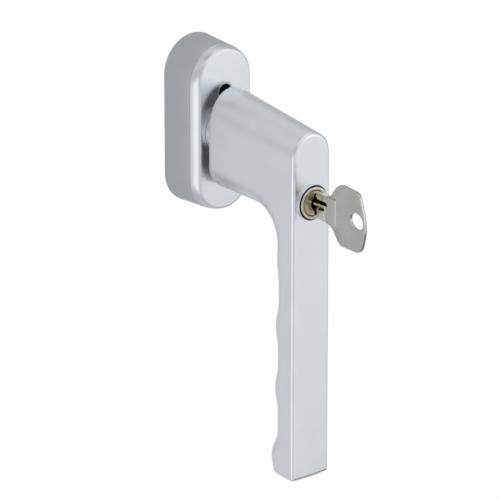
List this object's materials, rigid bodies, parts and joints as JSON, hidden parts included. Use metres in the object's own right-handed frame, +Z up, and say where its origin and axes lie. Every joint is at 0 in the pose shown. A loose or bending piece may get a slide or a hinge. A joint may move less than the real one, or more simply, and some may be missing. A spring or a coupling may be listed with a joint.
{
  "type": "lockable window handle",
  "caption": "Window handle with an oval rosette and cranked lever; a key lock in the neck drives a bolt into the rosette, so the handle locks closed.",
  "frame": {"origin": "where the spindle axis meets the face of the window sash", "axes": "+Z up, -Y out of the sash towards the room, +X to the right seen from the room"},
  "size_m": [0.028, 0.1125, 0.1599],
  "materials": {
    "satin_aluminium": "satin anodised, cool silver",
    "die_cast_zinc": "raw die-cast zinc",
    "zinc_plated_steel": "bright zinc plating",
    "spring_steel": "spring steel",
    "lock_nickel": "nickel-plated brass",
    "lock_brass": "machined brass",
    "key_nickel": "nickel-plated, stamped and tumbled",
    "black_plastic": "moulded black nylon"
  },
  "bodies": {
    "base": {"base_plate": "zinc_plated_steel", "bearing_body": "die_cast_zinc", "cover_clip_right": "spring_steel", "cover_clip_left": "spring_steel", "bolt_keeper_upper": "black_plastic", "bolt_keeper_lower": "black_plastic", "fixing_screw_upper": "zinc_plated_steel", "fixing_screw_lower": "zinc_plated_steel", "detent_spring_upper": "spring_steel", "detent_spring_lower": "spring_steel"},
    "cover": {"rosette_cover": "satin_aluminium"},
    "handle": {"grip": "satin_aluminium", "spindle": "zinc_plated_steel", "spindle_pin": "spring_steel", "detent_ring": "zinc_plated_steel", "retaining_clip": "spring_steel", "lock_housing": "lock_nickel", "cylinder_pin": "spring_steel"},
    "plug": {"lock_plug": "lock_brass", "plug_clip": "spring_steel", "drive_pin": "zinc_plated_steel", "wafer_spring_1": "spring_steel", "wafer_spring_2": "spring_steel", "wafer_spring_3": "spring_steel", "wafer_spring_4": "spring_steel", "wafer_spring_5": "spring_steel"},
    "key": {"key": "key_nickel"},
    "bolt": {"lock_bolt": "zinc_plated_steel"},
    "wafer_1": {"wafer_1": "lock_brass"},
    "wafer_2": {"wafer_2": "lock_brass"},
    "wafer_3": {"wafer_3": "lock_brass"},
    "wafer_4": {"wafer_4": "lock_brass"},
    "wafer_5": {"wafer_5": "lock_brass"},
    "ball_upper": {"detent_ball_upper": "spring_steel"},
    "ball_lower": {"detent_ball_lower": "spring_steel"}
  },
  "joints": [
    {"name": "handle_turn", "type": "hinge", "parent": "base", "child": "handle", "pos_m": [0, 0, 0], "axis": [0, -1, 0], "range_deg": [0, 180]},
    {"name": "cover_lift", "type": "slide", "parent": "base", "child": "cover", "axis": [0, -1, 0], "range_m": [0, 0.0014]},
    {"name": "key_turn", "type": "hinge", "parent": "handle", "child": "plug", "pos_m": [0, -0.0704, -0.015], "axis": [0, 1, 0], "range_deg": [0, 180]},
    {"name": "key_pull", "type": "slide", "parent": "plug", "child": "key", "axis": [0, -1, 0], "range_m": [0, 0.022]},
    {"name": "bolt_slide", "type": "slide", "parent": "handle", "child": "bolt", "axis": [0, 1, 0], "range_m": [0, 0.008]},
    {"name": "wafer_1_drop", "type": "slide", "parent": "plug", "child": "wafer_1", "axis": [0, 0, 1], "range_m": [0, 0.00061], "deforming": ["wafer_spring_1"]},
    {"name": "wafer_2_drop", "type": "slide", "parent": "plug", "child": "wafer_2", "axis": [0, 0, 1], "range_m": [0, 0.00061], "deforming": ["wafer_spring_2"]},
    {"name": "wafer_3_drop", "type": "slide", "parent": "plug", "child": "wafer_3", "axis": [0, 0, 1], "range_m": [0, 0.00061], "deforming": ["wafer_spring_3"]},
    {"name": "wafer_4_drop", "type": "slide", "parent": "plug", "child": "wafer_4", "axis": [0, 0, 1], "range_m": [0, 0.00061], "deforming": ["wafer_spring_4"]},
    {"name": "wafer_5_drop", "type": "slide", "parent": "plug", "child": "wafer_5", "axis": [0, 0, 1], "range_m": [0, 0.00061], "deforming": ["wafer_spring_5"]},
    {"name": "ball_upper_press", "type": "slide", "parent": "base", "child": "ball_upper", "axis": [0, 0, -1], "range_m": [0, 0.0005], "stiffness_N_per_m": 200, "deforming": ["detent_spring_upper"]},
    {"name": "ball_lower_press", "type": "slide", "parent": "base", "child": "ball_lower", "axis": [0, 0, 1], "range_m": [0, 0.0005], "stiffness_N_per_m": 200, "deforming": ["detent_spring_lower"]}
  ],
  "couplings": [
    {"joint": "key_turn", "follows": "bolt_slide", "rad_per_m": 392.7},
    {"joint": "wafer_1_drop", "follows": "key_pull", "ratio": 0.027273},
    {"joint": "wafer_2_drop", "follows": "key_pull", "ratio": 0.027273},
    {"joint": "wafer_3_drop", "follows": "key_pull", "ratio": 0.027273},
    {"joint": "wafer_4_drop", "follows": "key_pull", "ratio": 0.027273},
    {"joint": "wafer_5_drop", "follows": "key_pull", "ratio": 0.027273}
  ]
}
